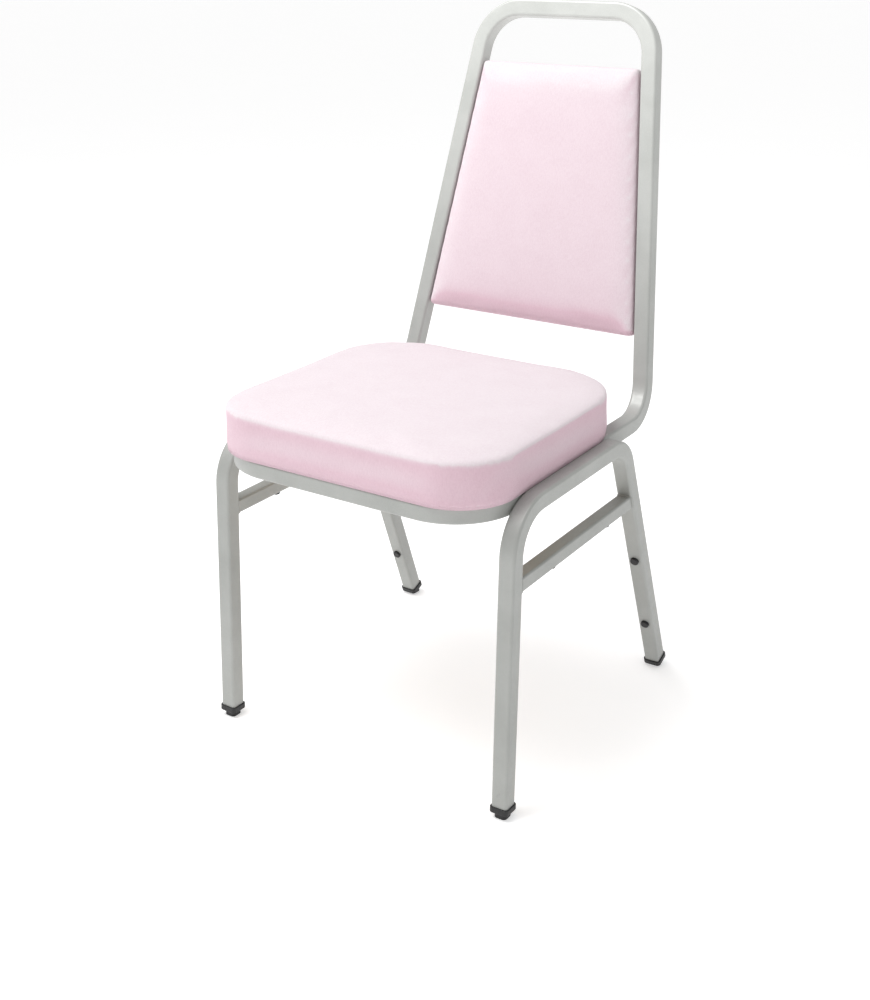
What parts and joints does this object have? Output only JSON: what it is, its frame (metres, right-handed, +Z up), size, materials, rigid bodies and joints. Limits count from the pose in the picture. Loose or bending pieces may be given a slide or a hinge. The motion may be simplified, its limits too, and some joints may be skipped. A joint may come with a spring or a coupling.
{
  "type": "stacking chair",
  "caption": "Stacking banquet chair with a trapezoid padded back, hand-hold hoop, upholstered seat and welded square-tube frame.",
  "frame": {"origin": "on the floor, below the middle of the chair's bounding box", "axes": "+Z up; the sitter faces -Y; left and right in the names are those of someone who stands in front and looks along +Y, so left is on -X; the two sides mirror each other across X = 0"},
  "size_m": [0.4578, 0.5634, 0.9134],
  "materials": {
    "frame_paint": "satin silver-grey stove enamel",
    "upholstery_fabric": "pale pink woven upholstery",
    "black_plastic": "black moulded plastic",
    "zinc_plated_steel": "bright zinc plate",
    "plywood": "raw plywood",
    "foam": "cut polyurethane foam"
  },
  "bodies": {
    "root": {"left_leg_frame": "frame_paint", "right_leg_frame": "frame_paint", "seat_front_tube": "frame_paint", "back_tube": "frame_paint", "left_stretcher": "frame_paint", "right_stretcher": "frame_paint", "rear_cross_rail": "frame_paint", "seat_fixing_tabs": "frame_paint", "back_fixing_tabs": "frame_paint", "front_left_foot_cap": "black_plastic", "rear_left_foot_cap": "black_plastic", "front_right_foot_cap": "black_plastic", "rear_right_foot_cap": "black_plastic", "left_stretcher_bumpers": "black_plastic", "right_stretcher_bumpers": "black_plastic", "left_rear_leg_bumpers": "black_plastic", "right_rear_leg_bumpers": "black_plastic", "panel_clips": "black_plastic", "seat_board": "plywood", "seat_foam": "foam", "seat_cover": "upholstery_fabric", "seat_screws": "zinc_plated_steel", "seat_tee_nuts": "zinc_plated_steel", "back_board": "plywood", "back_foam": "foam", "back_cover": "upholstery_fabric", "rear_panel": "upholstery_fabric", "back_screws": "zinc_plated_steel", "back_tee_nuts": "zinc_plated_steel"}
  },
  "joints": []
}
